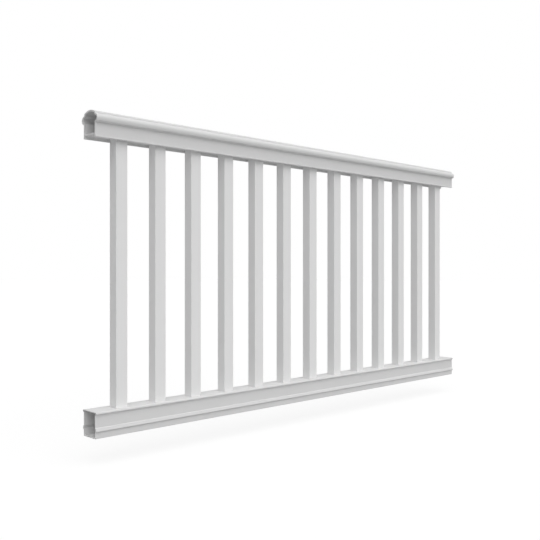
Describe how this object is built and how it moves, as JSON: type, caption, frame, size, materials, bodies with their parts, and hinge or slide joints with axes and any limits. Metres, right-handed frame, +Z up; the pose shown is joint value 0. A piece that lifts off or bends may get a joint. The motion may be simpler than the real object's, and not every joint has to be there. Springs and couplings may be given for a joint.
{
  "type": "vinyl railing section",
  "caption": "White vinyl railing section: two hollow moulded rails joined by a row of upright square balusters, with open square-cut ends that fit rail brackets between posts.",
  "frame": {"origin": "middle of the lower edge of the bottom rail's left end face", "axes": "+X along the rails to the right end, +Y from the front face to the back, +Z up"},
  "size_m": [1.8288, 0.086, 0.9283],
  "materials": {
    "rail_vinyl": "satin",
    "baluster_vinyl": "satin"
  },
  "bodies": {
    "root": {"bottom_rail": "rail_vinyl", "top_rail": "rail_vinyl", "baluster_01": "baluster_vinyl", "baluster_02": "baluster_vinyl", "baluster_03": "baluster_vinyl", "baluster_04": "baluster_vinyl", "baluster_05": "baluster_vinyl", "baluster_06": "baluster_vinyl", "baluster_07": "baluster_vinyl", "baluster_08": "baluster_vinyl", "baluster_09": "baluster_vinyl", "baluster_10": "baluster_vinyl", "baluster_11": "baluster_vinyl", "baluster_12": "baluster_vinyl", "baluster_13": "baluster_vinyl"}
  },
  "joints": []
}
